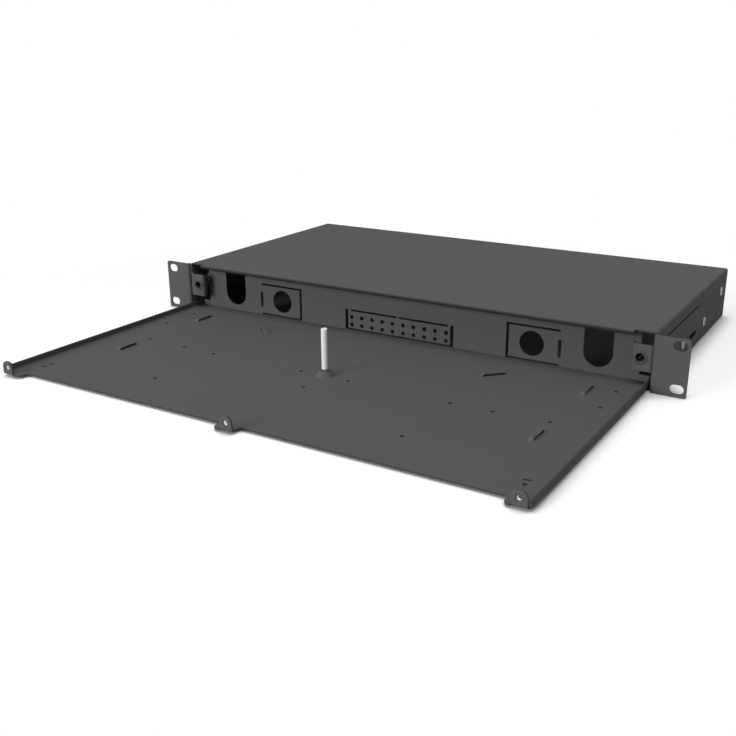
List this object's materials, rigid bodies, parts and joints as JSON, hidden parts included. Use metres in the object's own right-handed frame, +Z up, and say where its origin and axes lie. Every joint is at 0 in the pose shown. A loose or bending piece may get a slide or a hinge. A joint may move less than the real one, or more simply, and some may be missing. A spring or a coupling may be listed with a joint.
{
  "type": "fibre optic patch panel",
  "caption": "Sliding rack panel for fibre optic splices: a flat sheet-metal housing with slotted ears and a pull-out tray with a cable entry wall.",
  "frame": {"origin": "centre of the four rack slots, on the rear face of the ears", "axes": "+X to the right seen from the front, +Y back into the rack, +Z up"},
  "size_m": [0.479, 0.4401, 0.0436],
  "materials": {
    "painted_sheet": "fine powder coat",
    "zinc_fastener": "zinc plated",
    "dark_nylon": "moulded",
    "white_nylon": "moulded"
  },
  "bodies": {
    "housing": {"base_pan": "painted_sheet", "top_cover": "painted_sheet", "left_ear_bracket": "painted_sheet", "right_ear_bracket": "painted_sheet", "left_guide_rail": "painted_sheet", "right_guide_rail": "painted_sheet", "left_latch_socket": "dark_nylon", "right_latch_socket": "dark_nylon", "left_ear_screws": "zinc_fastener", "right_ear_screws": "zinc_fastener", "left_ear_nuts": "zinc_fastener", "right_ear_nuts": "zinc_fastener", "left_cover_screws": "zinc_fastener", "right_cover_screws": "zinc_fastener", "left_cover_nuts": "zinc_fastener", "right_cover_nuts": "zinc_fastener"},
    "drawer": {"drawer_tray": "painted_sheet", "drawer_rear_wall": "painted_sheet", "left_tab_nut": "zinc_fastener", "centre_tab_nut": "zinc_fastener", "right_tab_nut": "zinc_fastener", "pillar_screw": "zinc_fastener", "pillar_washer": "dark_nylon", "splice_pillar": "white_nylon"}
  },
  "joints": [
    {"name": "drawer_slide", "type": "slide", "parent": "housing", "child": "drawer", "axis": [0, 1, 0], "range_m": [0, 0.2119]}
  ]
}
